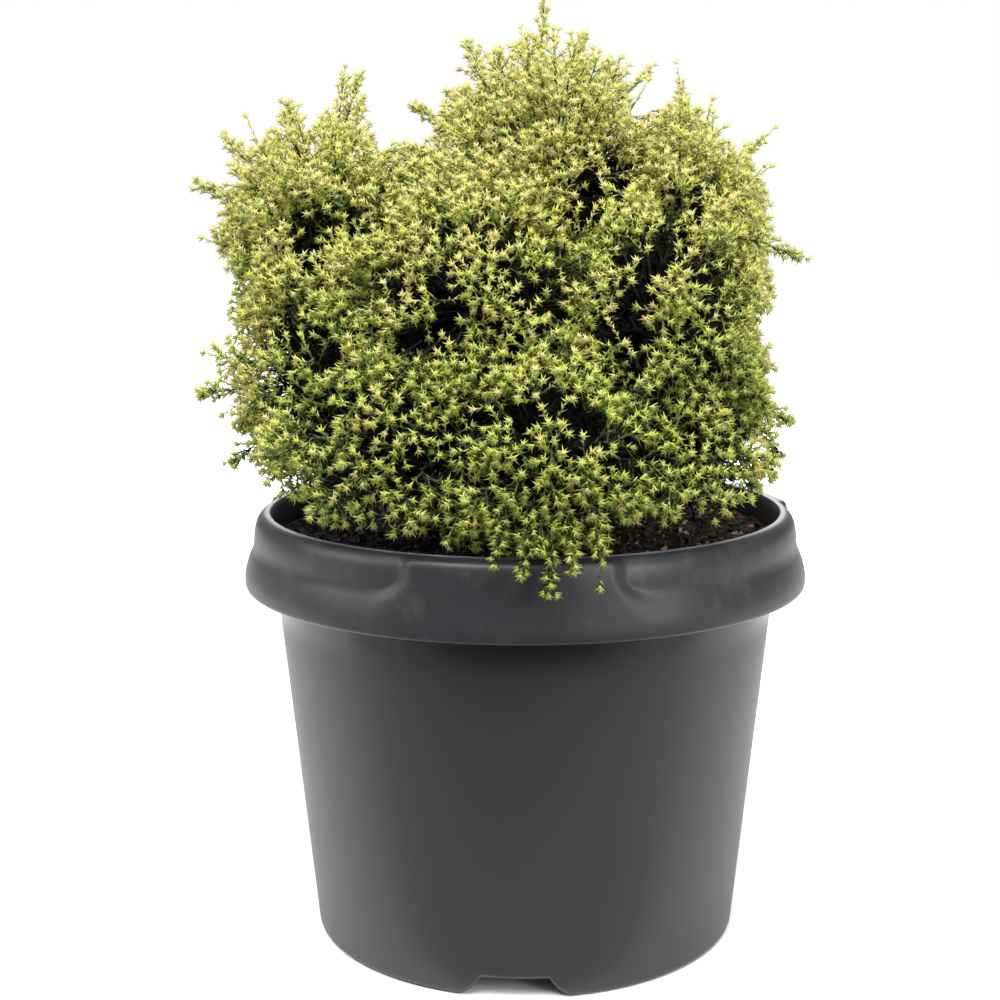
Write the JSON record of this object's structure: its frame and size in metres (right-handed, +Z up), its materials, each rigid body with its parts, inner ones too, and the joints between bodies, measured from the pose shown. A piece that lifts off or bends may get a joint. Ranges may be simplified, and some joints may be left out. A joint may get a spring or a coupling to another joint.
{
  "type": "potted dwarf japanese cedar",
  "caption": "Young dwarf conifer with a full, lobed crown of creamy yellow-green needle sprays, growing in potting mix in a tapered grey nursery pot with a turned-down rim.",
  "frame": {"origin": "middle of the pot's flat underside", "axes": "+Z up along the pot's axis, -Y towards the picture's camera"},
  "size_m": [0.295, 0.2866, 0.4503],
  "materials": {
    "pot_plastic": "satin moulded polypropylene",
    "potting_mix": "moist bark crumbs",
    "bark": "rough bark",
    "needles": "living needles"
  },
  "bodies": {
    "root": {"pot": "pot_plastic", "soil": "potting_mix", "trunk": "bark", "bough_left_shoulder": "bark", "bough_right_shoulder": "bark", "bough_front_middle": "bark", "bough_front_right": "bark", "bough_left_side": "bark", "bough_right_side": "bark", "bough_left_skirt": "bark", "bough_front_skirt": "bark", "bough_right_skirt": "bark", "bough_back_left": "bark", "bough_back_right": "bark", "bough_back_low_left": "bark", "bough_back_low_right": "bark", "mass_top": "needles", "mass_left_shoulder": "needles", "mass_right_shoulder": "needles", "mass_front_middle": "needles", "mass_front_right": "needles", "mass_left_side": "needles", "mass_right_side": "needles", "mass_left_skirt": "needles", "mass_front_skirt": "needles", "mass_right_skirt": "needles", "mass_back_left": "needles", "mass_back_right": "needles", "mass_back_low_left": "needles", "mass_back_low_right": "needles"}
  },
  "joints": []
}
